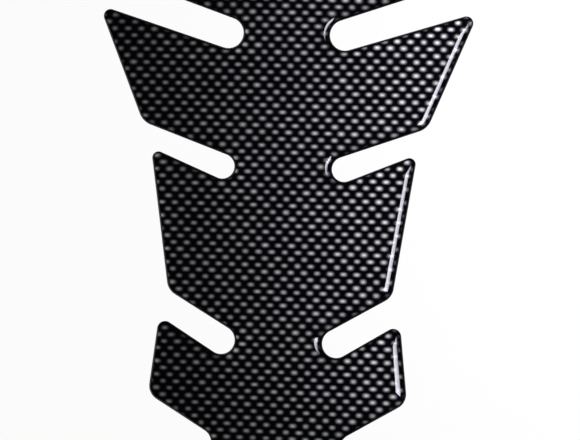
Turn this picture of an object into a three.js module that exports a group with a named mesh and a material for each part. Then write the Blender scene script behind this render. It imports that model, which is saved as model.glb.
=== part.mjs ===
import * as THREE from "three";

// Motorcycle tank pad: one flat printed film, cut to a spine with five pairs of ribs, with clear resin cast
// on it as a low dome. The resin grips the film's cut edge and levels itself, so the edge is steep and
// rounds over into a flat top. Film and resin are bonded and cannot come apart: the pad is one piece.
//
// Millimetres. X runs across the pad, +Y towards its head and +Z away from the tank. The adhesive back lies
// on z = 0 and the origin is the middle of the back. The ribs are named tail, hip, waist, chest and head,
// from the tail up, and each slot is named after the rib below it.

// Film and resin
const FILM_THICKNESS = 0.3;
const RESIN_HEIGHT = 1.7;
const RESIN_EDGE_ANGLE = 57; // degrees, slope of the resin where it stands on the film's edge
const RESIN_LEVEL_ANGLE = 5; // degrees, slope at which the resin counts as level
const RESIN_CORNER_GROWTH = 0.35; // gain of a corner's radius for each millimetre in from the edge
const RESIN_STEPS = 6;

// Lengths along the centre line, from the apex of the tail to the centre of the tail slot's round end, from
// there to each next slot's, and from the last to the head's dip. Apex and dip count before rounding.
const TAIL_LENGTH = 38.0;
const HIP_LENGTH = 34.1;
const WAIST_LENGTH = 57.6;
const CHEST_LENGTH = 44.2;
const HEAD_LENGTH = 35.0;

// Ribs. HALF_WIDTH is measured at the upper corner before rounding, and FLARE is the angle by which the
// side leans outwards on its way up, in degrees.
const TAIL_HALF_WIDTH = 37.5;
const TAIL_FLARE = 9.0;
const TAIL_LOWER_RADIUS = 5.5;
const TAIL_UPPER_RADIUS = 2.6;

const HIP_HALF_WIDTH = 40.4;
const HIP_FLARE = -6.6;
const HIP_LOWER_RADIUS = 5.3;
const HIP_UPPER_RADIUS = 2.7;

const WAIST_HALF_WIDTH = 44.6;
const WAIST_FLARE = 8.5;
const WAIST_LOWER_RADIUS = 5.7;
const WAIST_UPPER_RADIUS = 2.1;

const CHEST_HALF_WIDTH = 63.5;
const CHEST_FLARE = 22.4;
const CHEST_LOWER_RADIUS = 6.5;
const CHEST_UPPER_RADIUS = 2.3;

const HEAD_HALF_WIDTH = 72.0;
const HEAD_FLARE = 14.0;
const HEAD_LOWER_RADIUS = 6.0;
const HEAD_UPPER_RADIUS = 7.0;

// Slots. SLOT_END is the distance of the round end's centre from the centre line, and the rakes are the
// angles of the slot's two edges to the X axis, in degrees.
const TAIL_SLOT_END = 26.2;
const TAIL_SLOT_WIDTH = 9.0;
const TAIL_SLOT_LOWER_RAKE = 32.0;
const TAIL_SLOT_UPPER_RAKE = 30.7;

const HIP_SLOT_END = 19.3;
const HIP_SLOT_WIDTH = 9.3;
const HIP_SLOT_LOWER_RAKE = 31.4;
const HIP_SLOT_UPPER_RAKE = 30.2;

const WAIST_SLOT_END = 20.4;
const WAIST_SLOT_WIDTH = 8.2;
const WAIST_SLOT_LOWER_RAKE = 22.5;
const WAIST_SLOT_UPPER_RAKE = 19.7;

const CHEST_SLOT_END = 19.5;
const CHEST_SLOT_WIDTH = 10.1;
const CHEST_SLOT_LOWER_RAKE = 17.3;
const CHEST_SLOT_UPPER_RAKE = 18.9;

// Tail and head, closed across the centre line
const TAIL_RAKE = 30; // degrees
const TAIL_TIP_RADIUS = 12;
const HEAD_RAKE = 9; // degrees
const HEAD_DIP_RADIUS = 60;

// Steps of the rounded stretches
const SLOT_END_STEPS = 18;
const CORNER_STEPS = 6;
const CENTRE_STEPS = 12;

// The most of a straight edge that one corner's rounding may take
const ROUNDING_SHARE = 0.48;

const TAIL_SLOT_HEIGHT = TAIL_LENGTH;
const HIP_SLOT_HEIGHT = TAIL_SLOT_HEIGHT + HIP_LENGTH;
const WAIST_SLOT_HEIGHT = HIP_SLOT_HEIGHT + WAIST_LENGTH;
const CHEST_SLOT_HEIGHT = WAIST_SLOT_HEIGHT + CHEST_LENGTH;
const HEAD_HEIGHT = CHEST_SLOT_HEIGHT + HEAD_LENGTH;

function rib(halfWidth, flare, lowerRadius, upperRadius) {
  return { halfWidth, flare, lowerRadius, upperRadius };
}

function slot(endX, height, width, lowerRake, upperRake) {
  return { centre: new THREE.Vector2(endX, height), radius: width / 2, lowerRake, upperRake };
}

const RIBS = [
  rib(TAIL_HALF_WIDTH, TAIL_FLARE, TAIL_LOWER_RADIUS, TAIL_UPPER_RADIUS),
  rib(HIP_HALF_WIDTH, HIP_FLARE, HIP_LOWER_RADIUS, HIP_UPPER_RADIUS),
  rib(WAIST_HALF_WIDTH, WAIST_FLARE, WAIST_LOWER_RADIUS, WAIST_UPPER_RADIUS),
  rib(CHEST_HALF_WIDTH, CHEST_FLARE, CHEST_LOWER_RADIUS, CHEST_UPPER_RADIUS),
  rib(HEAD_HALF_WIDTH, HEAD_FLARE, HEAD_LOWER_RADIUS, HEAD_UPPER_RADIUS),
];

const SLOTS = [
  slot(TAIL_SLOT_END, TAIL_SLOT_HEIGHT, TAIL_SLOT_WIDTH, TAIL_SLOT_LOWER_RAKE, TAIL_SLOT_UPPER_RAKE),
  slot(HIP_SLOT_END, HIP_SLOT_HEIGHT, HIP_SLOT_WIDTH, HIP_SLOT_LOWER_RAKE, HIP_SLOT_UPPER_RAKE),
  slot(
    WAIST_SLOT_END,
    WAIST_SLOT_HEIGHT,
    WAIST_SLOT_WIDTH,
    WAIST_SLOT_LOWER_RAKE,
    WAIST_SLOT_UPPER_RAKE,
  ),
  slot(
    CHEST_SLOT_END,
    CHEST_SLOT_HEIGHT,
    CHEST_SLOT_WIDTH,
    CHEST_SLOT_LOWER_RAKE,
    CHEST_SLOT_UPPER_RAKE,
  ),
];

const { degToRad } = THREE.MathUtils;

// The outline is followed anticlockwise, seen from above, so the pad is always on the left of the way.
function headingAt(degrees) {
  return new THREE.Vector2(Math.cos(degToRad(degrees)), Math.sin(degToRad(degrees)));
}

function leftOf(heading) {
  return new THREE.Vector2(-heading.y, heading.x);
}

// A straight edge through a point, moved to the left of the way by the inset.
function straightEdge(point, heading, inset) {
  return { point: point.clone().addScaledVector(leftOf(heading), inset), heading };
}

// The point where two straight edges cross.
function crossing(first, second) {
  const between = second.point.clone().sub(first.point);
  const distance = between.cross(second.heading) / first.heading.cross(second.heading);
  return first.point.clone().addScaledVector(first.heading, distance);
}

function centreLine() {
  return { point: new THREE.Vector2(0, 0), heading: headingAt(90) };
}

// A slot's edges touch its round end. The lower one is followed inwards and the upper one outwards.
function slotLowerEdge({ centre, radius, lowerRake }, inset) {
  return straightEdge(centre, headingAt(lowerRake).negate(), radius + inset);
}

function slotUpperEdge({ centre, radius, upperRake }, inset) {
  return straightEdge(centre, headingAt(upperRake), radius + inset);
}

function tailEdge(inset) {
  const edge = straightEdge(new THREE.Vector2(0, 0), headingAt(TAIL_RAKE), inset);
  return { point: crossing(edge, centreLine()), heading: edge.heading };
}

function headEdge(inset) {
  const heading = headingAt(HEAD_RAKE).negate();
  const edge = straightEdge(new THREE.Vector2(0, HEAD_HEIGHT), heading, inset);
  return { point: crossing(edge, centreLine()), heading };
}

// A rib's side leans outwards on its way up and passes through the rib's upper corner.
function sideEdge({ halfWidth, flare }, upperEdge, inset) {
  const widthLine = { point: new THREE.Vector2(halfWidth, 0), heading: headingAt(90) };
  return straightEdge(crossing(upperEdge, widthLine), headingAt(90 - flare), inset);
}

function arc(centre, radius, startAngle, sweep, steps) {
  return Array.from({ length: steps + 1 }, (_, step) => {
    const angle = startAngle + (sweep * step) / steps;
    return new THREE.Vector2(
      centre.x + radius * Math.cos(angle),
      centre.y + radius * Math.sin(angle),
    );
  });
}

// The arc that rounds a corner between two straight edges, touching both.
function roundedCorner(before, corner, after, radius, steps) {
  const back = before.clone().sub(corner);
  const ahead = after.clone().sub(corner);
  const room = ROUNDING_SHARE * Math.min(back.length(), ahead.length());
  back.normalize();
  ahead.normalize();
  const halfAngle = Math.acos(back.dot(ahead)) / 2;
  const reach = Math.min(radius / Math.tan(halfAngle), room);
  const fitted = reach * Math.tan(halfAngle);
  const inwards = back.clone().add(ahead).normalize();
  const centre = corner.clone().addScaledVector(inwards, fitted / Math.sin(halfAngle));
  const start = corner.clone().addScaledVector(back, reach).sub(centre);
  const turn = Math.sign(ahead.cross(back)) * (Math.PI - 2 * halfAngle);
  return arc(centre, fitted, Math.atan2(start.y, start.x), turn, steps);
}

// The half circle at the inner end of a slot, from its lower edge round to its upper one.
function slotEnd({ centre, radius, lowerRake, upperRake }, inset) {
  const start = degToRad(lowerRake - 90);
  const sweep = degToRad(upperRake - lowerRake - 180);
  return arc(centre, radius + inset, start, sweep, SLOT_END_STEPS);
}

// The right-hand side of the outline, from the tail's lower edge up to the head's top edge.
function rightSide(inset) {
  const growth = RESIN_CORNER_GROWTH * inset;
  const upperEdges = (distance) => [
    ...SLOTS.map((each) => slotLowerEdge(each, distance)),
    headEdge(distance),
  ];
  const lower = [tailEdge(inset), ...SLOTS.map((each) => slotUpperEdge(each, inset))];
  const upper = upperEdges(inset);
  const upperAtCut = upperEdges(0);
  const corners = [];
  const points = RIBS.flatMap((each, index) => {
    const side = sideEdge(each, upperAtCut[index], inset);
    const lowerCorner = crossing(lower[index], side);
    const upperCorner = crossing(side, upper[index]);
    const from = lower[index].point;
    const to = upper[index].point;
    corners.push(lowerCorner, upperCorner);
    return [
      ...roundedCorner(from, lowerCorner, upperCorner, each.lowerRadius + growth, CORNER_STEPS),
      ...roundedCorner(lowerCorner, upperCorner, to, each.upperRadius + growth, CORNER_STEPS),
      ...(index < SLOTS.length ? slotEnd(SLOTS[index], inset) : []),
    ];
  });
  return { points, tailCorner: corners[0], headCorner: corners[corners.length - 1] };
}

function mirrored(point) {
  return new THREE.Vector2(-point.x, point.y);
}

// The closed outline at a distance in from the cut edge. It has as many points at every inset.
function outline(inset) {
  const { points, tailCorner, headCorner } = rightSide(inset);
  const growth = RESIN_CORNER_GROWTH * inset;
  const tip = tailEdge(inset).point;
  const dip = headEdge(inset).point;
  const tipRadius = TAIL_TIP_RADIUS + growth;
  const dipRadius = HEAD_DIP_RADIUS + inset;
  return [
    ...roundedCorner(mirrored(tailCorner), tip, tailCorner, tipRadius, CENTRE_STEPS),
    ...points,
    ...roundedCorner(headCorner, dip, mirrored(headCorner), dipRadius, CENTRE_STEPS),
    ...points.map(mirrored).reverse(),
  ];
}

// How resin levels itself in from an edge: at the slope angle a, its surface lies 2 L sin(a/2) under the
// level top and L (ln tan(a/4) + 2 cos(a/2)) across, where L is the resin's capillary length.
function depthBelowLevel(angle) {
  return 2 * Math.sin(angle / 2);
}

function spreadAcross(angle) {
  return Math.log(Math.tan(angle / 4)) + 2 * Math.cos(angle / 2);
}

// The section of the pad from its back up to the level top, as pairs of inset and height.
function section() {
  const steepest = degToRad(RESIN_EDGE_ANGLE);
  const level = degToRad(RESIN_LEVEL_ANGLE);
  const capillaryLength = RESIN_HEIGHT / (depthBelowLevel(steepest) - depthBelowLevel(level));
  const rings = [{ inset: 0, height: 0 }];
  for (let step = 0; step <= RESIN_STEPS; step += 1) {
    const angle = steepest * (level / steepest) ** (step / RESIN_STEPS);
    const rise = depthBelowLevel(steepest) - depthBelowLevel(angle);
    const run = spreadAcross(steepest) - spreadAcross(angle);
    rings.push({ inset: capillaryLength * run, height: FILM_THICKNESS + capillaryLength * rise });
  }
  return rings;
}

// A closed body lofted through the section's outlines, with a flat back and a flat top.
function loftedPad() {
  const rings = section().map(({ inset, height }) => ({ points: outline(inset), height }));
  const count = rings[0].points.length;
  const positions = rings.flatMap(({ points, height }) => points.flatMap((p) => [p.x, p.y, height]));
  const faces = [];
  for (let ring = 0; ring < rings.length - 1; ring += 1) {
    for (let place = 0; place < count; place += 1) {
      const below = ring * count + place;
      const belowNext = ring * count + ((place + 1) % count);
      faces.push(below, belowNext, belowNext + count);
      faces.push(below, belowNext + count, below + count);
    }
  }
  const top = (rings.length - 1) * count;
  THREE.ShapeUtils.triangulateShape(rings[0].points, []).forEach(([a, b, c]) => {
    faces.push(a, c, b);
  });
  THREE.ShapeUtils.triangulateShape(rings[rings.length - 1].points, []).forEach(([a, b, c]) => {
    faces.push(top + a, top + b, top + c);
  });
  const geometry = new THREE.BufferGeometry();
  geometry.setAttribute("position", new THREE.Float32BufferAttribute(positions, 3));
  geometry.setIndex(faces);
  geometry.computeVertexNormals();
  return geometry;
}

const cutEdge = new THREE.Box2().setFromPoints(outline(0));

const tankPad = new THREE.Mesh(
  loftedPad(),
  new THREE.MeshStandardMaterial({ color: 0x0c0c10, roughness: 0.12, metalness: 0 }),
);
tankPad.name = "tank_pad";
tankPad.position.set(0, -cutEdge.getCenter(new THREE.Vector2()).y, 0);

const pad = new THREE.Group();
pad.add(tankPad);

export default pad;
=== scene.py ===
"""Carbon-look tank pad for a motorcycle: a printed film under a clear resin dome, on a white studio floor."""

import math

import bpy
import numpy as np
from mathutils import Euler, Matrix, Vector
from mathutils.geometry import delaunay_2d_cdt


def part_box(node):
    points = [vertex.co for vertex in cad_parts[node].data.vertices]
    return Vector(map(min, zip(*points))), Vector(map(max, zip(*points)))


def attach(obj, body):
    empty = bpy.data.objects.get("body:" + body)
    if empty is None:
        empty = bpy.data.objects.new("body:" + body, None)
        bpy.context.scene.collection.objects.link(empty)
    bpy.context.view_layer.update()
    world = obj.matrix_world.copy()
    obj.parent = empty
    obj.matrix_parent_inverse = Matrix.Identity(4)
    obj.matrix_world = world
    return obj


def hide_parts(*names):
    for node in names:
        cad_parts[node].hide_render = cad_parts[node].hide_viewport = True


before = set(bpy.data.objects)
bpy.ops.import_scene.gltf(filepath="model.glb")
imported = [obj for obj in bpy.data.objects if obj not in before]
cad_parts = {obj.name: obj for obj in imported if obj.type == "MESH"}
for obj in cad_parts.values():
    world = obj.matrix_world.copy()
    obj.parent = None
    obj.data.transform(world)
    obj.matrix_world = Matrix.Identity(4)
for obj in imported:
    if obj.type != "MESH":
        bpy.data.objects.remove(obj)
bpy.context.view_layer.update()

bl_info = {
    "name": "Carbon-Look Tank Pad",
    "version": (1, 0, 0),
    "blender": (4, 5, 0),
    "location": "View3D > Sidebar > Tank Pad",
    "description": "Builds a domed carbon-look tank pad and its studio",
    "category": "Add Mesh",
}

PAD_NODE = "tank_pad"

# The photograph's frame, in pixels, and the camera's sensor across it
PHOTO_WIDTH = 580
SENSOR_WIDTH = 36.0

MM_PER_METRE = 1000.0


def mm(*values):
    """Millimetres as metres: one number, or a tuple of them."""
    metres = tuple(value / MM_PER_METRE for value in values)
    return metres if len(metres) > 1 else metres[0]


def degrees(*values):
    """Degrees as radians: one number, or a tuple of them."""
    radians = tuple(math.radians(value) for value in values)
    return radians if len(radians) > 1 else radians[0]


def pad_thickness():
    """Thickness of the pad in the frame, from its back to the top of the resin."""
    low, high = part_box(PAD_NODE)
    return high[2] - low[2]


FILM_THICKNESS = mm(0.3)


class PadOutline(bpy.types.PropertyGroup):
    """Outline of the pad. Ribs and slots are listed from the tail up, and a slot has the number of the rib
    below it."""

    spine_lengths: bpy.props.FloatVectorProperty(
        name="Spine Lengths",
        description="Along the centre line: from the tail's apex to each slot's end, then to the head's dip",
        size=5,
        default=mm(38.0, 34.1, 57.6, 44.2, 35.0),
        unit="LENGTH",
    )
    half_widths: bpy.props.FloatVectorProperty(
        name="Rib Half Widths",
        description="From the centre line to each rib's upper corner before rounding",
        size=5,
        default=mm(37.5, 40.4, 44.6, 63.5, 72.0),
        unit="LENGTH",
    )
    flares: bpy.props.FloatVectorProperty(
        name="Rib Flares",
        description="Angle by which each rib's side leans outwards on its way up",
        size=5,
        default=degrees(9.0, -6.6, 8.5, 22.4, 14.0),
        unit="ROTATION",
    )
    lower_radii: bpy.props.FloatVectorProperty(
        name="Lower Corner Radii",
        description="Rounding of each rib's lower corner",
        size=5,
        default=mm(5.5, 5.3, 5.7, 6.5, 6.0),
        unit="LENGTH",
    )
    upper_radii: bpy.props.FloatVectorProperty(
        name="Upper Corner Radii",
        description="Rounding of each rib's upper corner",
        size=5,
        default=mm(2.6, 2.7, 2.1, 2.3, 7.0),
        unit="LENGTH",
    )
    slot_ends: bpy.props.FloatVectorProperty(
        name="Slot Ends",
        description="From the centre line to the centre of each slot's round end",
        size=4,
        default=mm(26.2, 19.3, 20.4, 19.5),
        unit="LENGTH",
    )
    slot_widths: bpy.props.FloatVectorProperty(
        name="Slot Widths",
        description="Width of each slot at its round end",
        size=4,
        default=mm(9.0, 9.3, 8.2, 10.1),
        unit="LENGTH",
    )
    slot_lower_rakes: bpy.props.FloatVectorProperty(
        name="Slot Lower Rakes",
        description="Angle of each slot's lower edge to the X axis",
        size=4,
        default=degrees(32.0, 31.4, 22.5, 17.3),
        unit="ROTATION",
    )
    slot_upper_rakes: bpy.props.FloatVectorProperty(
        name="Slot Upper Rakes",
        description="Angle of each slot's upper edge to the X axis",
        size=4,
        default=degrees(30.7, 30.2, 19.7, 18.9),
        unit="ROTATION",
    )
    tail_rake: bpy.props.FloatProperty(
        name="Tail Rake",
        description="Angle of the tail's lower edges to the X axis",
        default=degrees(30.0),
        unit="ROTATION",
    )
    tail_tip_radius: bpy.props.FloatProperty(
        name="Tail Tip Radius", description="Rounding of the tail's tip", default=mm(12.0), unit="LENGTH"
    )
    head_rake: bpy.props.FloatProperty(
        name="Head Rake",
        description="Angle of the head's top edges to the X axis",
        default=degrees(9.0),
        unit="ROTATION",
    )
    head_dip_radius: bpy.props.FloatProperty(
        name="Head Dip Radius", description="Rounding of the dip in the head", default=mm(60.0), unit="LENGTH"
    )


class PadSection(bpy.types.PropertyGroup):
    """Section of the pad from its cut edge inwards, and how finely it is meshed."""

    film_thickness: bpy.props.FloatProperty(
        name="Film Thickness",
        description="Printed film with its adhesive",
        default=FILM_THICKNESS,
        unit="LENGTH",
    )
    resin_height: bpy.props.FloatProperty(
        name="Resin Height",
        description="Height of the resin's level top above the film",
        default=pad_thickness() - FILM_THICKNESS,
        unit="LENGTH",
    )
    edge_angle: bpy.props.FloatProperty(
        name="Edge Angle",
        description="Slope of the resin where it stands on the film's edge",
        default=degrees(57.0),
        unit="ROTATION",
    )
    level_angle: bpy.props.FloatProperty(
        name="Level Angle",
        description="Slope at which the section ends and the level top begins",
        default=degrees(3.5),
        unit="ROTATION",
    )
    corner_growth: bpy.props.FloatProperty(
        name="Corner Growth",
        description="Change of a corner's radius for each unit of length in from the edge",
        default=-0.3,
    )
    ripple_height: bpy.props.FloatProperty(
        name="Ripple Height",
        description="Height of the long, faint waves that the resin keeps in its level top",
        default=mm(0.008),
        unit="LENGTH",
        precision=6,
    )
    ripple_length: bpy.props.FloatProperty(
        name="Ripple Length", description="Length of those waves", default=mm(34.0), unit="LENGTH"
    )
    section_steps: bpy.props.IntProperty(
        name="Section Steps", description="Faces from the film's edge in to the level top", default=22, min=2
    )
    corner_steps: bpy.props.IntProperty(
        name="Corner Steps", description="Faces round each rib's corner", default=16, min=2
    )
    slot_steps: bpy.props.IntProperty(
        name="Slot Steps", description="Faces round each slot's end", default=36, min=2
    )
    centre_steps: bpy.props.IntProperty(
        name="Centre Steps", description="Faces round the tail's tip and the head's dip", default=24, min=2
    )
    straight_steps: bpy.props.IntProperty(
        name="Straight Steps", description="Faces along each straight edge", default=8, min=1
    )
    top_spacing: bpy.props.FloatProperty(
        name="Top Spacing",
        description="Distance between the points inside the level top",
        default=mm(2.2),
        unit="LENGTH",
    )


class PadPrint(bpy.types.PropertyGroup):
    """The carbon-look print: rows of silver dots on black, each row set off by half a repeat."""

    column_pitch: bpy.props.FloatProperty(
        name="Column Pitch",
        description="Half the distance between the dots of a row",
        default=mm(2.2),
        unit="LENGTH",
    )
    row_pitch: bpy.props.FloatProperty(
        name="Row Pitch", description="Distance between rows", default=mm(2.2), unit="LENGTH"
    )
    turn: bpy.props.FloatProperty(
        name="Turn",
        description="Angle of the rows to the X axis",
        default=degrees(-0.197),
        unit="ROTATION",
    )
    start: bpy.props.FloatVectorProperty(
        name="Start", description="Centre of one dot", size=2, default=mm(1.676, 0.300), unit="LENGTH"
    )
    dot_size: bpy.props.FloatVectorProperty(
        name="Dot Size",
        description="Width and height of a dot where it has faded to about a third",
        size=2,
        default=mm(1.66, 1.10),
        unit="LENGTH",
    )
    silver: bpy.props.FloatVectorProperty(
        name="Silver",
        description="Colour of the dots' ink",
        size=3,
        default=(0.9, 0.9, 0.86),
        subtype="COLOR",
    )
    black: bpy.props.FloatVectorProperty(
        name="Black",
        description="Colour of the film",
        size=3,
        default=(0.0006, 0.0006, 0.0014),
        subtype="COLOR",
    )
    silver_roughness: bpy.props.FloatProperty(
        name="Silver Roughness", description="Roughness of the dots' ink", default=0.59, min=0.0, max=1.0
    )


class PadStage(bpy.types.PropertyGroup):
    """Floor, light and camera."""

    floor_size: bpy.props.FloatProperty(
        name="Floor Size", description="Side of the floor", default=12.0, unit="LENGTH"
    )
    key_place: bpy.props.FloatVectorProperty(
        name="Key Place",
        description="Centre of the strip softbox on the pad's right",
        size=3,
        default=mm(193.5, 80.0, 285.5),
        subtype="TRANSLATION",
    )
    key_size: bpy.props.FloatVectorProperty(
        name="Key Size",
        description="Width and length of the softbox",
        size=2,
        default=mm(92.0, 390.0),
        unit="LENGTH",
    )
    key_tilt: bpy.props.FloatVectorProperty(
        name="Key Tilt",
        description="Lean of the softbox about X and Y, and its turn, from lying level along Y",
        size=3,
        default=degrees(14.7, 5.7, -23.3),
        unit="ROTATION",
    )
    key_spread: bpy.props.FloatProperty(
        name="Key Spread",
        description="Angle over which the softbox's grid lets light out",
        default=degrees(85.7),
        unit="ROTATION",
    )
    key_power: bpy.props.FloatProperty(
        name="Key Power", description="Power of the softbox", default=0.965, unit="POWER"
    )
    key_colour: bpy.props.FloatVectorProperty(
        name="Key Colour",
        description="Colour of the softbox",
        size=3,
        default=(0.89, 0.885, 1.0),
        subtype="COLOR",
    )
    aim: bpy.props.FloatVectorProperty(
        name="Aim",
        description="Point of the floor in the middle of the frame",
        size=2,
        default=mm(2.78, 2.23),
        unit="LENGTH",
    )
    distance: bpy.props.FloatProperty(
        name="Camera Distance", description="From the camera to the aim", default=1.190, unit="LENGTH"
    )
    tilt: bpy.props.FloatVectorProperty(
        name="Camera Tilt",
        description="Lean of the camera about X and Y, and its roll",
        size=3,
        default=degrees(-0.870, 8.983, 1.576),
        unit="ROTATION",
    )
    focal_pixels: bpy.props.FloatProperty(
        name="Focal Length", description="Focal length in pixels of the photograph's frame", default=3600.0
    )


# Outline. It is followed anticlockwise, seen from above, so the pad is always on the left of the way. Every
# function works on all insets at once: points have the shape (insets, 2) or (insets, points, 2).


def heading(angle):
    """Unit vector at an angle to the X axis: (cos, sin)."""
    return np.array([math.cos(angle), math.sin(angle)])


def cross(first, second):
    """Cross product of plane vectors: x1 y2 - y1 x2."""
    return first[..., 0] * second[..., 1] - first[..., 1] * second[..., 0]


def straight_edge(point, way, insets):
    """A straight edge for each inset: the point moved left of the way by the inset, and the way."""
    left = np.array([-way[1], way[0]])
    return np.asarray(point, float) + left * insets[:, None], way


def crossing(first, second):
    """Point where two straight edges p + t u and q + s v cross: t = (q - p) x v / u x v."""
    (point, way), (other_point, other_way) = first, second
    along = cross(other_point - point, other_way) / cross(way, other_way)
    return point + way * np.asarray(along)[..., None]


CENTRE_LINE = (np.zeros(2), np.array([0.0, 1.0]))

# The most of a straight edge that one corner's rounding may take
ROUNDING_SHARE = 0.48


def arc(centre, radius, start, sweep, steps):
    """Points centre + radius (cos a, sin a), with a running from start over sweep."""
    angle = start[:, None] + sweep[:, None] * np.linspace(0.0, 1.0, steps + 1)
    return centre[:, None] + radius[:, None, None] * np.stack([np.cos(angle), np.sin(angle)], -1)


def rounded_corner(before, corner, after, radius, steps):
    """The arc that touches both straight edges of a corner: its centre lies on the corner's bisector, at
    radius / sin(half the corner's angle)."""
    back, ahead = before - corner, after - corner
    back_length = np.linalg.norm(back, axis=-1)
    ahead_length = np.linalg.norm(ahead, axis=-1)
    back, ahead = back / back_length[:, None], ahead / ahead_length[:, None]
    half_angle = np.arccos((back * ahead).sum(-1)) / 2.0
    room = ROUNDING_SHARE * np.minimum(back_length, ahead_length)
    reach = np.minimum(radius / np.tan(half_angle), room)
    fitted = reach * np.tan(half_angle)
    bisector = (back + ahead) / np.linalg.norm(back + ahead, axis=-1)[:, None]
    centre = corner + bisector * (fitted / np.sin(half_angle))[:, None]
    first = corner + back * reach[:, None] - centre
    turn = np.sign(cross(ahead, back)) * (math.pi - 2.0 * half_angle)
    return arc(centre, fitted, np.arctan2(first[:, 1], first[:, 0]), turn, steps)


def mirrored(points):
    """The points on the other side of the centre line."""
    return points * np.array([-1.0, 1.0])


def with_straights(stretches, steps):
    """Joins the rounded stretches into one closed way, with evenly spaced points on the straights between."""
    share = np.linspace(0.0, 1.0, steps + 1)[1:-1, None]
    joined = []
    for stretch, following in zip(stretches, stretches[1:] + stretches[:1]):
        start, end = stretch[:, -1:], following[:, :1]
        joined += [stretch, start + (end - start) * share]
    return np.concatenate(joined, axis=1)


def pad_outline(outline, section, insets):
    """The closed outline at each inset, as an array (insets, points, 2). A corner's radius changes by
    corner_growth for each unit of inset, and a slot end's grows by the inset itself."""
    growth = section.corner_growth * insets
    heights = np.cumsum(outline.spine_lengths)
    slots = list(
        zip(
            outline.slot_ends,
            heights,
            outline.slot_widths,
            outline.slot_lower_rakes,
            outline.slot_upper_rakes,
        )
    )
    tail_way, head_way = heading(outline.tail_rake), -heading(outline.head_rake)
    tip = crossing(straight_edge((0.0, 0.0), tail_way, insets), CENTRE_LINE)
    dip = crossing(straight_edge((0.0, heights[-1]), head_way, insets), CENTRE_LINE)

    def upper_edges(distances, head_point):
        under_slots = [
            straight_edge((x, y), -heading(lower), width / 2.0 + distances)
            for x, y, width, lower, _ in slots
        ]
        return under_slots + [(head_point, head_way)]

    over_slots = [
        straight_edge((x, y), heading(upper), width / 2.0 + insets) for x, y, width, _, upper in slots
    ]
    lower = [(tip, tail_way)] + over_slots
    upper = upper_edges(insets, dip)
    cut_upper = upper_edges(np.zeros(1), np.array([[0.0, heights[-1]]]))
    side_stretches, corners = [], []
    ribs = zip(outline.half_widths, outline.flares, outline.lower_radii, outline.upper_radii)
    for number, (half_width, flare, lower_radius, upper_radius) in enumerate(ribs):
        width_line = (np.array([half_width, 0.0]), CENTRE_LINE[1])
        upper_point = crossing(cut_upper[number], width_line)[0]
        side = straight_edge(upper_point, heading(math.pi / 2.0 - flare), insets)
        low, high = crossing(lower[number], side), crossing(side, upper[number])
        corners += [low, high]
        steps = section.corner_steps
        side_stretches += [
            rounded_corner(lower[number][0], low, high, lower_radius + growth, steps),
            rounded_corner(low, high, upper[number][0], upper_radius + growth, steps),
        ]
        if number < len(slots):
            x, y, width, low_rake, high_rake = slots[number]
            every = np.ones_like(insets)
            side_stretches.append(
                arc(
                    np.array([x, y]) * every[:, None],
                    width / 2.0 + insets,
                    (low_rake - math.pi / 2.0) * every,
                    (high_rake - low_rake - math.pi) * every,
                    section.slot_steps,
                )
            )
    tail_radius, dip_radius = outline.tail_tip_radius + growth, outline.head_dip_radius + insets
    steps = section.centre_steps
    tail = rounded_corner(mirrored(corners[0]), tip, corners[0], tail_radius, steps)
    head = rounded_corner(corners[-1], dip, mirrored(corners[-1]), dip_radius, steps)
    other_side = [mirrored(stretch)[:, ::-1] for stretch in reversed(side_stretches)]
    ways = with_straights([tail] + side_stretches + [head] + other_side, section.straight_steps)
    middle = (ways[0, :, 1].min() + ways[0, :, 1].max()) / 2.0
    return ways - np.array([0.0, middle])


# Section and mesh


def resin_section(section):
    """Inset and height of each ring, and the resin's capillary length L. Where the slope of resin that
    levels itself in from an edge is a, it lies 2 L sin(a/2) under its level top. The way across between two
    slopes is the change of L (ln tan(a/4) + 2 cos(a/2))."""
    span = section.level_angle / section.edge_angle
    slope = section.edge_angle * span ** np.linspace(0.0, 1.0, section.section_steps + 1)
    length = section.resin_height / (2.0 * math.sin(section.edge_angle / 2.0))
    across = length * (np.log(np.tan(slope / 4.0)) + 2.0 * np.cos(slope / 2.0))
    depth = 2.0 * length * np.sin(slope / 2.0)
    insets = np.concatenate([[0.0], across[0] - across])
    heights = np.concatenate([[0.0], section.film_thickness + section.resin_height - depth])
    return insets, heights, length


# The ripple's three waves. The length of each way is its number of waves in a ripple length.
RIPPLE_WAYS = np.array([[1.0, 0.35], [-0.55, 0.9], [0.2, -1.3]])
RIPPLE_PHASES = np.array([0.4, 2.1, 4.4])


def ripple(points, section):
    """Faint standing waves: the mean of three sines of the plane place, each along its own way."""
    wave = 2.0 * math.pi / section.ripple_length
    return section.ripple_height * np.sin(points @ RIPPLE_WAYS.T * wave + RIPPLE_PHASES).mean(-1)


def inside(points, way):
    """True for each point that a closed way goes round: a ray along +X crosses the way an odd number of
    times."""
    start, end = way, np.roll(way, -1, axis=0)
    x, y = points[:, :1], points[:, 1:]
    spans = (start[:, 1] > y) != (end[:, 1] > y)
    rise = np.where(start[:, 1] == end[:, 1], 1.0, end[:, 1] - start[:, 1])
    meets = start[:, 0] + (y - start[:, 1]) * (end[:, 0] - start[:, 0]) / rise
    return (spans & (meets > x)).sum(1) % 2 == 1


# Shares of the grid's spacing: from row to row, and from the last ring to the nearest grid point
ROW_SHARE = math.sqrt(0.75)
CLEARANCE_SHARE = 0.55


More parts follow.
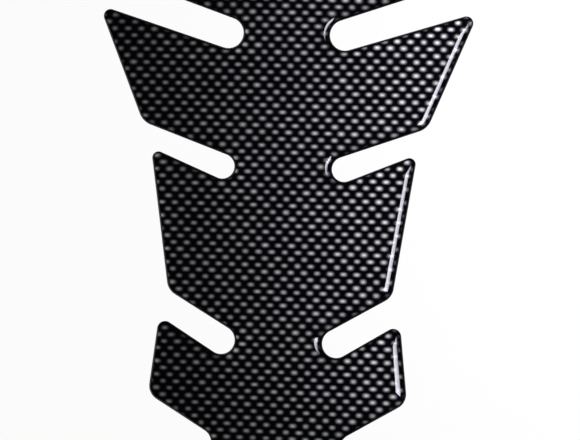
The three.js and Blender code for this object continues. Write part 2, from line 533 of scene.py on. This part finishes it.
def level_top(ring, spacing):
    """Points of a grid of equal triangles inside the last ring, with their distance from it."""
    low, high = ring.min(0), ring.max(0)
    rows = np.arange(low[1], high[1], spacing * ROW_SHARE)
    columns = np.arange(low[0], high[0], spacing)
    x, y = np.meshgrid(columns, rows)
    x = x + (np.arange(len(rows)) % 2)[:, None] * spacing / 2.0
    grid = np.stack([x.ravel(), y.ravel()], -1)
    grid = grid[inside(grid, ring)]
    distance = np.sqrt(((grid[:, None] - ring[None]) ** 2).sum(-1)).min(1)
    clear = distance > spacing * CLEARANCE_SHARE
    return grid[clear], distance[clear]


# The triangulation keeps the faces inside its border, and joins points this close, in millimetres
FACES_INSIDE = 1
SAME_POINT = 1e-6


def top_faces(ring, grid):
    """Triangles that join the last ring and the grid inside it, as indices into ring and grid together."""
    points = [Vector(point * MM_PER_METRE) for point in np.vstack([ring, grid])]
    count = len(ring)
    border = [(place, (place + 1) % count) for place in range(count)]
    _, _, faces, origins, _, _ = delaunay_2d_cdt(points, border, [], FACES_INSIDE, SAME_POINT)
    return [tuple(origins[corner][0] for corner in face) for face in faces]


def band_faces(rings, count):
    """Quads between neighbouring rings of count points each, facing out."""
    ring, place = np.meshgrid(np.arange(rings - 1), np.arange(count), indexing="ij")
    start = (ring * count + place).ravel()
    following = (ring * count + (place + 1) % count).ravel()
    return np.stack([start, following, following + count, start + count], -1)


# Places of the cut edge's and the back's materials on the mesh, after the dome's
CUT_EDGE_PLACE, BACK_PLACE = 1, 2

# Faces that meet at a wider angle are shaded with an edge between them
SHARP_ANGLE = degrees(28.0)


def pad_mesh(outline, section):
    """The pad: the outline at every ring of the section, closed by a flat back and a level top whose points
    lie under the level by the last ring's depth times e^(-distance / L)."""
    insets, heights, length = resin_section(section)
    ways = pad_outline(outline, section, insets)
    rings, count = ways.shape[:2]
    raised = np.broadcast_to(heights[:, None, None], (rings, count, 1))
    ring_points = np.concatenate([ways, raised], -1).reshape(-1, 3)
    grid, distance = level_top(ways[-1], section.top_spacing)
    level = section.film_thickness + section.resin_height
    fade = np.exp(-distance / length)
    grid_heights = level - (level - heights[-1]) * fade + (1.0 - fade) * ripple(grid, section)
    points = np.vstack([ring_points, np.column_stack([grid, grid_heights])])
    bands = band_faces(rings, count)
    top = [
        tuple(corner + (rings - 1) * count for corner in face) for face in top_faces(ways[-1], grid)
    ]
    back = [tuple(range(count - 1, -1, -1))]
    mesh = bpy.data.meshes.new(PAD_NODE)
    mesh.from_pydata(points.tolist(), [], bands.tolist() + top + back)
    places = np.zeros(len(bands) + len(top) + len(back), dtype=np.int32)
    places[:count] = CUT_EDGE_PLACE
    places[-1] = BACK_PLACE
    mesh.polygons.foreach_set("material_index", places)
    mesh.polygons.foreach_set("use_smooth", np.ones(len(places), dtype=bool))
    mesh.update()
    mesh.set_sharp_from_angle(angle=SHARP_ANGLE)
    return mesh


# Materials

# The Mix node has sockets of the same name for each kind of data, so its colour sockets go by number
MIX_INPUTS = (0, 6, 7)
MIX_OUTPUT = 2


class Graph:
    """Short calls for adding nodes to a tree and joining them."""

    def __init__(self, tree):
        self.tree = tree

    def node(self, kind, settings=None, **inputs):
        """Adds a node. settings are its attributes. inputs go to the sockets of those names, with _ for a
        space, as a value or as another node's output."""
        made = self.tree.nodes.new(kind)
        for name, value in (settings or {}).items():
            setattr(made, name, value)
        for name, value in inputs.items():
            self.feed(made.inputs[name.replace("_", " ")], value)
        return made

    def feed(self, socket, value):
        """Sets a socket's value, or joins another node's output to it."""
        if isinstance(value, bpy.types.NodeSocket):
            self.tree.links.new(value, socket)
        else:
            socket.default_value = value

    def math(self, operation, *values):
        """A Math node's result."""
        made = self.tree.nodes.new("ShaderNodeMath")
        made.operation = operation
        for socket, value in zip(made.inputs, values):
            self.feed(socket, value)
        return made.outputs[0]

    def vector(self, operation, *values, output="Vector", scale=None):
        """A Vector Math node's result."""
        made = self.tree.nodes.new("ShaderNodeVectorMath")
        made.operation = operation
        for socket, value in zip(made.inputs, values):
            self.feed(socket, value)
        if scale is not None:
            self.feed(made.inputs["Scale"], scale)
        return made.outputs[output]

    def split(self, vector):
        """The three parts of a vector."""
        made = self.node("ShaderNodeSeparateXYZ", Vector=vector)
        return made.outputs["X"], made.outputs["Y"], made.outputs["Z"]

    def join(self, x, y, z):
        """A vector of three parts."""
        return self.node("ShaderNodeCombineXYZ", X=x, Y=y, Z=z).outputs["Vector"]

    def mix(self, factor, first, second):
        """A colour between two, by the factor."""
        made = self.tree.nodes.new("ShaderNodeMix")
        made.data_type = "RGBA"
        for number, value in zip(MIX_INPUTS, (factor, first, second)):
            self.feed(made.inputs[number], value)
        return made.outputs[MIX_OUTPUT]

    def ease(self, value, low, high, start=0.0, end=1.0):
        """A smooth step of the value, from start at low to end at high."""
        made = self.node(
            "ShaderNodeMapRange",
            {"interpolation_type": "SMOOTHSTEP"},
            Value=value,
            From_Min=low,
            From_Max=high,
            To_Min=start,
            To_Max=end,
        )
        return made.outputs["Result"]


def new_group(name, inputs, outputs):
    """A shader node group with named sockets, given as pairs of name and socket type. Returns the group, its
    graph, its inputs by name and its output node."""
    group = bpy.data.node_groups.new(name, "ShaderNodeTree")
    for socket_name, kind in inputs:
        group.interface.new_socket(name=socket_name, in_out="INPUT", socket_type=kind)
    for socket_name, kind in outputs:
        group.interface.new_socket(name=socket_name, in_out="OUTPUT", socket_type=kind)
    graph = Graph(group)
    entry = graph.node("NodeGroupInput").outputs
    return group, graph, entry, graph.node("NodeGroupOutput")


VALUE, VECTOR = "NodeSocketFloat", "NodeSocketVector"

# The least upright part of a normal, which keeps a cliff's slope finite
LEAST_UPRIGHT = 0.3

# Painted shade: the print shows in full up to the first slope and is painted black past the second
PAINTED_SHADE_SLOPES = (0.32, 0.8)


def resin_lens_group():
    """What clear resin does to a print under it. With n the index of refraction, s the level part of the
    surface normal and m its slope s/z, a mirror under the resin acts as if it were tilted by -(n - 1) s, and
    the print is seen shifted inwards by its depth times (n - 1) m / n. Past a slope of about 1/2 the light of
    the print is thrown back inside the resin, and that dark is painted shade: a share that is 1 on flatter
    places and 0 on steep ones, by which the print is painted over with black."""
    group, graph, entry, exit_node = new_group(
        "Resin Lens",
        [("Place", VECTOR), ("Normal", VECTOR), ("Film Top", VALUE), ("Index", VALUE)],
        [("Print Place", VECTOR), ("Print Normal", VECTOR), ("Unshaded Print", VALUE)],
    )
    x, y, z = graph.split(entry["Normal"])
    upright = graph.math("MAXIMUM", z, LEAST_UPRIGHT)
    slope = graph.join(graph.math("DIVIDE", x, upright), graph.math("DIVIDE", y, upright), 0.0)
    bending = graph.math("SUBTRACT", entry["Index"], 1.0)
    lean = graph.vector("MULTIPLY", entry["Normal"], (1.0, 1.0, 0.0))
    tilt = graph.vector("SCALE", lean, scale=graph.math("MULTIPLY", bending, -1.0))
    mirror = graph.vector("NORMALIZE", graph.vector("ADD", tilt, (0.0, 0.0, 1.0)))
    turned = graph.node(
        "ShaderNodeVectorTransform",
        {"vector_type": "NORMAL", "convert_from": "OBJECT", "convert_to": "WORLD"},
        Vector=mirror,
    )
    depth = graph.math("SUBTRACT", graph.split(entry["Place"])[2], entry["Film Top"])
    shift = graph.math("MULTIPLY", depth, graph.math("DIVIDE", bending, entry["Index"]))
    seen = graph.vector("SUBTRACT", entry["Place"], graph.vector("SCALE", slope, scale=shift))
    graph.feed(exit_node.inputs["Print Place"], seen)
    graph.feed(exit_node.inputs["Print Normal"], turned.outputs["Vector"])
    # Painted shade: the share of the print left unpainted, 1 on flatter places and 0 on steep ones
    steepness = graph.vector("LENGTH", slope, output="Value")
    graph.feed(exit_node.inputs["Unshaded Print"], graph.ease(steepness, *PAINTED_SHADE_SLOPES, start=1.0, end=0.0))
    return group


# A dot's own size is a random factor, from the least up over the range
LEAST_SIZE = 0.9
SIZE_RANGE = 0.2

# How steeply a dot fades at its edge
EDGE_POWER = 2.4

# Noise of the threads, in the weave's units: slow along a thread and fast across it
THREAD_ALONG = 0.55
THREAD_ACROSS = 11.0
THREAD_DETAIL = 3.0
THREAD_ROUGHNESS = 0.6


def woven_print_group():
    """A plain weave as it is printed. In units of column and row pitch, dots stand where both numbers are
    whole and their sum is even. The nearest of them is found in the turned coordinates (u + v) / 2 and
    (u - v) / 2, and each dot has its own random size and shade. A dot fades out from its middle as
    e^-((|du| / a)^p + (|dv| / b)^p), with a and b half its size and p the edge power."""
    group, graph, entry, exit_node = new_group(
        "Woven Print",
        [
            ("Place", VECTOR),
            ("Column Pitch", VALUE),
            ("Row Pitch", VALUE),
            ("Dot Width", VALUE),
            ("Dot Height", VALUE),
        ],
        [("Dot", VALUE), ("Shade", VALUE), ("Threads", VALUE), ("Tow", VALUE)],
    )
    x, y, _ = graph.split(entry["Place"])
    u = graph.math("DIVIDE", x, entry["Column Pitch"])
    v = graph.math("DIVIDE", y, entry["Row Pitch"])
    rising = graph.math("MULTIPLY", graph.math("ADD", u, v), 0.5)
    falling = graph.math("MULTIPLY", graph.math("SUBTRACT", u, v), 0.5)
    rising_whole, falling_whole = graph.math("ROUND", rising), graph.math("ROUND", falling)
    rising_off = graph.math("SUBTRACT", rising, rising_whole)
    falling_off = graph.math("SUBTRACT", falling, falling_whole)
    across = graph.math("ADD", rising_off, falling_off)
    up = graph.math("SUBTRACT", rising_off, falling_off)
    chance = graph.node(
        "ShaderNodeTexWhiteNoise",
        {"noise_dimensions": "2D"},
        Vector=graph.join(rising_whole, falling_whole, 0.0),
    )
    own_width, own_height, _ = graph.split(chance.outputs["Color"])
    spans = []
    for offset, size, pitch, own in (
        (across, "Dot Width", "Column Pitch", own_width),
        (up, "Dot Height", "Row Pitch", own_height),
    ):
        half = graph.math("DIVIDE", entry[size], graph.math("MULTIPLY", entry[pitch], 2.0))
        half = graph.math("MULTIPLY", half, graph.math("MULTIPLY_ADD", own, SIZE_RANGE, LEAST_SIZE))
        span = graph.math("DIVIDE", graph.math("ABSOLUTE", offset), half)
        spans.append(graph.math("POWER", span, EDGE_POWER))
    dot = graph.math("EXPONENT", graph.math("MULTIPLY", graph.math("ADD", *spans), -1.0))
    noises = []
    for u_factor, v_factor in ((THREAD_ALONG, THREAD_ACROSS), (THREAD_ACROSS, THREAD_ALONG)):
        stretched = (graph.math("MULTIPLY", u, u_factor), graph.math("MULTIPLY", v, v_factor))
        noise = graph.node(
            "ShaderNodeTexNoise",
            {"noise_dimensions": "2D"},
            Vector=graph.join(*stretched, 0.0),
            Scale=1.0,
            Detail=THREAD_DETAIL,
            Roughness=THREAD_ROUGHNESS,
        )
        noises.append(noise.outputs["Fac"])
    level_threads, upright_threads = noises
    tow = graph.math("MULTIPLY", graph.math("SUBTRACT", 1.0, dot), upright_threads)
    graph.feed(exit_node.inputs["Dot"], dot)
    graph.feed(exit_node.inputs["Shade"], chance.outputs["Value"])
    graph.feed(exit_node.inputs["Threads"], level_threads)
    graph.feed(exit_node.inputs["Tow"], tow)
    return group


GRAIN_DETAIL = 3.0


def fine_grain_group():
    """Grain of a plain surface: a few octaves of noise, as a value about 0.5."""
    group, graph, entry, exit_node = new_group(
        "Fine Grain", [("Place", VECTOR), ("Scale", VALUE)], [("Grain", VALUE)]
    )
    noise = graph.node(
        "ShaderNodeTexNoise", Vector=entry["Place"], Scale=entry["Scale"], Detail=GRAIN_DETAIL
    )
    graph.feed(exit_node.inputs["Grain"], noise.outputs["Fac"])
    return group


def new_material(name):
    """An empty material with a Principled BSDF on its output, as (material, graph, shader)."""
    material = bpy.data.materials.new(name)
    material.use_nodes = True
    material.node_tree.nodes.clear()
    graph = Graph(material.node_tree)
    shader = graph.node("ShaderNodeBsdfPrincipled")
    output = graph.node("ShaderNodeOutputMaterial")
    graph.feed(output.inputs["Surface"], shader.outputs["BSDF"])
    return material, graph, shader


def opaque(colour, factor=1.0):
    """A colour times a factor, with full alpha, as a socket takes it."""
    return (*(part * factor for part in colour), 1.0)


# Clear resin, and the coat that stands for its gloss
RESIN_INDEX = 1.5
GLOSS_WEIGHT = 0.77
GLOSS_ROUGHNESS = 0.03

# Silver ink: the factor of its darkest tone, the noise values between which the threads turn from dark to
# pale, and the shares of the tone that the threads and the dot's own shade make
DARK_INK = 0.6
THREAD_VALUES = (0.3, 0.7)
THREAD_SHARE = 0.5
SHADE_SHARE = 0.5

# Black film: the factor of its palest tone, and the noise values between which it turns pale
PALE_FILM = 3.0
TOW_VALUES = (0.4, 0.75)

# The share of ink from which a place is fully metallic
METALLIC_FROM = 0.2


def printed_dome_material(look, section):
    """Black film with silver woven dots under clear gloss resin. The gloss is the coat, on the resin's own
    surface, and the print below it is tilted and shifted by the resin lens. Where the resin's edge is steep,
    a painted shade turns the dots into black film and takes their metal away."""
    material, graph, shader = new_material("printed_dome")
    place = graph.node("ShaderNodeTexCoord").outputs
    lens = graph.node(
        "ShaderNodeGroup",
        {"node_tree": resin_lens_group()},
        Place=place["Object"],
        Normal=place["Normal"],
        Film_Top=section.film_thickness,
        Index=RESIN_INDEX,
    )
    turned = graph.node(
        "ShaderNodeMapping",
        {"vector_type": "TEXTURE"},
        Vector=lens.outputs["Print Place"],
        Location=(*look.start, 0.0),
        Rotation=(0.0, 0.0, look.turn),
    )
    weave = graph.node(
        "ShaderNodeGroup",
        {"node_tree": woven_print_group()},
        Place=turned.outputs["Vector"],
        Column_Pitch=look.column_pitch,
        Row_Pitch=look.row_pitch,
        Dot_Width=look.dot_size[0],
        Dot_Height=look.dot_size[1],
    ).outputs
    threads = graph.ease(weave["Threads"], *THREAD_VALUES, start=0.0, end=THREAD_SHARE)
    tone = graph.math("ADD", threads, graph.math("MULTIPLY", weave["Shade"], SHADE_SHARE))
    silver = graph.mix(tone, opaque(look.silver, DARK_INK), opaque(look.silver))
    tow = graph.ease(weave["Tow"], *TOW_VALUES)
    black = graph.mix(tow, opaque(look.black), opaque(look.black, PALE_FILM))
    # Painted shade: the dots fade to the black film, and lose their metal, where the resin's edge is steep
    dot = graph.math("MULTIPLY", weave["Dot"], lens.outputs["Unshaded Print"])
    graph.feed(shader.inputs["Base Color"], graph.mix(dot, black, silver))
    graph.feed(shader.inputs["Metallic"], graph.ease(dot, 0.0, METALLIC_FROM))
    graph.feed(shader.inputs["Roughness"], look.silver_roughness)
    graph.feed(shader.inputs["Specular IOR Level"], 0.0)
    graph.feed(shader.inputs["Normal"], lens.outputs["Print Normal"])
    graph.feed(shader.inputs["Coat Weight"], GLOSS_WEIGHT)
    graph.feed(shader.inputs["Coat Roughness"], GLOSS_ROUGHNESS)
    graph.feed(shader.inputs["Coat IOR"], RESIN_INDEX)
    return material


# Plain film: its colour, its roughness and the scale of its grain
CUT_EDGE_LOOK = ((0.012, 0.012, 0.014), 0.45, 3000.0)
ADHESIVE_LOOK = ((0.05, 0.05, 0.052), 0.35, 900.0)

# The grain's work on it: factors of the darkest and the palest tone, the noise values between which the
# roughness goes from least to most, its change either way, and the bumps
DARK_GRAIN, PALE_GRAIN = 0.8, 1.2
GRAIN_VALUES = (0.3, 0.7)
GRAIN_ROUGHNESS = 0.06
BUMP_STRENGTH = 0.15
BUMP_HEIGHT = mm(0.02)


def plain_film_material(name, colour, roughness, grain_scale, grain_group):
    """Plain film with a fine grain that shifts its shade and gloss and lifts its surface a little."""
    material, graph, shader = new_material(name)
    place = graph.node("ShaderNodeTexCoord").outputs["Object"]
    grain = graph.node("ShaderNodeGroup", {"node_tree": grain_group}, Place=place, Scale=grain_scale)
    grain = grain.outputs["Grain"]
    shade = graph.mix(grain, opaque(colour, DARK_GRAIN), opaque(colour, PALE_GRAIN))
    least, most = roughness - GRAIN_ROUGHNESS, roughness + GRAIN_ROUGHNESS
    bump = graph.node("ShaderNodeBump", Strength=BUMP_STRENGTH, Distance=BUMP_HEIGHT, Height=grain)
    graph.feed(shader.inputs["Base Color"], shade)
    graph.feed(shader.inputs["Roughness"], graph.ease(grain, *GRAIN_VALUES, start=least, end=most))
    graph.feed(shader.inputs["Normal"], bump.outputs["Normal"])
    return material


# Stage

WHITE = (1.0, 1.0, 1.0)

# The floor's own colour and roughness, the share of it that is seen as plain white, and its gap to the pad
FLOOR_COLOUR = (0.88, 0.88, 0.88)
FLOOR_ROUGHNESS = 0.9
WHITE_SHARE = 0.96
FLOOR_GAP = mm(0.02)

# The studio's ceiling, and the upright parts of a ray's way between which the walls fade into it
CEILING_COLOUR = (0.02, 0.02, 0.024)
WALL_FADE = (0.07, 0.18)

# How far the camera sees, in metres
CAMERA_REACH = 100.0


def floor_material():
    """Matte white floor. Camera, glossy and transmission rays see most of it as plain white, and the rest
    keeps the pad's shadow. From below it is clear, so that the pad's back shows."""
    material, graph, shader = new_material("studio_floor")
    graph.feed(shader.inputs["Base Color"], opaque(FLOOR_COLOUR))
    graph.feed(shader.inputs["Roughness"], FLOOR_ROUGHNESS)
    graph.feed(shader.inputs["Specular IOR Level"], 0.0)
    path = graph.node("ShaderNodeLightPath").outputs
    seen = graph.math("MAXIMUM", path["Is Camera Ray"], path["Is Glossy Ray"])
    seen = graph.math("MAXIMUM", seen, path["Is Transmission Ray"])
    white = graph.node("ShaderNodeEmission", Color=opaque(WHITE), Strength=1.0)
    mixed = graph.node("ShaderNodeMixShader")
    graph.feed(mixed.inputs[0], graph.math("MULTIPLY", seen, WHITE_SHARE))
    graph.feed(mixed.inputs[1], shader.outputs["BSDF"])
    graph.feed(mixed.inputs[2], white.outputs["Emission"])
    one_sided = graph.node("ShaderNodeMixShader")
    graph.feed(one_sided.inputs[0], graph.node("ShaderNodeNewGeometry").outputs["Backfacing"])
    graph.feed(one_sided.inputs[1], mixed.outputs["Shader"])
    graph.feed(one_sided.inputs[2], graph.node("ShaderNodeBsdfTransparent").outputs["BSDF"])
    output = next(node for node in material.node_tree.nodes if node.type == "OUTPUT_MATERIAL")
    graph.feed(output.inputs["Surface"], one_sided.outputs["Shader"])
    return material


def studio_world():
    """White walls up to a low height, which fade into a dark ceiling. The camera sees white everywhere."""
    world = bpy.data.worlds.new("studio")
    world.use_nodes = True
    world.node_tree.nodes.clear()
    graph = Graph(world.node_tree)
    height = graph.split(graph.node("ShaderNodeTexCoord").outputs["Generated"])[2]
    wall = graph.ease(height, *WALL_FADE, start=1.0, end=0.0)
    seen = graph.node("ShaderNodeLightPath").outputs["Is Camera Ray"]
    wall = graph.math("MAXIMUM", wall, seen)
    colour = graph.mix(wall, opaque(CEILING_COLOUR), opaque(WHITE))
    background = graph.node("ShaderNodeBackground", Color=colour, Strength=1.0)
    output = graph.node("ShaderNodeOutputWorld")
    graph.feed(output.inputs["Surface"], background.outputs["Background"])
    return world


def add_object(name, data):
    """A new object in the scene."""
    made = bpy.data.objects.new(name, data)
    bpy.context.scene.collection.objects.link(made)
    return made


class TANKPAD_OT_pad(bpy.types.Operator):
    """Build the domed pad and its print"""

    bl_idname = "tank_pad.build_pad"
    bl_label = "Build Pad"

    def execute(self, context):
        scene = context.scene
        mesh = pad_mesh(scene.pad_outline, scene.pad_section)
        mesh.materials.append(printed_dome_material(scene.pad_print, scene.pad_section))
        grain = fine_grain_group()
        mesh.materials.append(plain_film_material("film_cut_edge", *CUT_EDGE_LOOK, grain))
        mesh.materials.append(plain_film_material("adhesive_back", *ADHESIVE_LOOK, grain))
        pad = add_object("domed_pad", mesh)
        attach(pad, "root")
        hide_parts(PAD_NODE)
        return {"FINISHED"}


class TANKPAD_OT_stage(bpy.types.Operator):
    """Build the floor, the light and the camera"""

    bl_idname = "tank_pad.build_stage"
    bl_label = "Build Stage"

    def execute(self, context):
        scene, stage = context.scene, context.scene.pad_stage
        half = stage.floor_size / 2.0
        mesh = bpy.data.meshes.new("floor")
        corners = [(-half, -half), (half, -half), (half, half), (-half, half)]
        mesh.from_pydata([(x, y, -FLOOR_GAP) for x, y in corners], [], [(0, 1, 2, 3)])
        mesh.materials.append(floor_material())
        add_object("floor", mesh)

        lamp = bpy.data.lights.new("key_softbox", "AREA")
        lamp.shape = "RECTANGLE"
        lamp.size, lamp.size_y = stage.key_size
        lamp.energy = stage.key_power
        lamp.color = stage.key_colour
        lamp.spread = stage.key_spread
        key = add_object("key_softbox", lamp)
        key.location = stage.key_place
        key.rotation_euler = stage.key_tilt
        key.visible_camera = False

        scene.world = studio_world()
        scene.view_settings.view_transform = "Standard"

        lens = bpy.data.cameras.new("camera")
        lens.sensor_width = SENSOR_WIDTH
        lens.lens = stage.focal_pixels * SENSOR_WIDTH / PHOTO_WIDTH
        lens.clip_end = CAMERA_REACH
        camera = add_object("camera", lens)
        camera.rotation_mode = "ZXY"
        camera.rotation_euler = Euler(stage.tilt, "ZXY")
        back = camera.rotation_euler.to_matrix() @ Vector((0.0, 0.0, stage.distance))
        camera.location = Vector((*stage.aim, 0.0)) + back
        scene.camera = camera
        return {"FINISHED"}


class TANKPAD_PT_panel(bpy.types.Panel):
    """The pad's builders in the 3D view's sidebar"""

    bl_label = "Tank Pad"
    bl_idname = "TANKPAD_PT_panel"
    bl_space_type = "VIEW_3D"
    bl_region_type = "UI"
    bl_category = "Tank Pad"

    def draw(self, context):
        for operator in OPERATORS:
            self.layout.operator(operator.bl_idname)
        for name in PROPERTY_GROUPS:
            box = self.layout.box()
            group = getattr(context.scene, name)
            for prop in group.bl_rna.properties:
                if not prop.is_readonly and prop.identifier != "name":
                    box.prop(group, prop.identifier)


OPERATORS = (TANKPAD_OT_pad, TANKPAD_OT_stage)
PROPERTY_GROUPS = {
    "pad_outline": PadOutline,
    "pad_section": PadSection,
    "pad_print": PadPrint,
    "pad_stage": PadStage,
}


def register():
    for cls in (*PROPERTY_GROUPS.values(), *OPERATORS, TANKPAD_PT_panel):
        bpy.utils.register_class(cls)
    for name, group in PROPERTY_GROUPS.items():
        setattr(bpy.types.Scene, name, bpy.props.PointerProperty(type=group))


def unregister():
    for name in PROPERTY_GROUPS:
        delattr(bpy.types.Scene, name)
    for cls in reversed((*PROPERTY_GROUPS.values(), *OPERATORS, TANKPAD_PT_panel)):
        bpy.utils.unregister_class(cls)


def main():
    register()
    bpy.ops.tank_pad.build_pad()
    bpy.ops.tank_pad.build_stage()


if __name__ == "__main__":
    main()
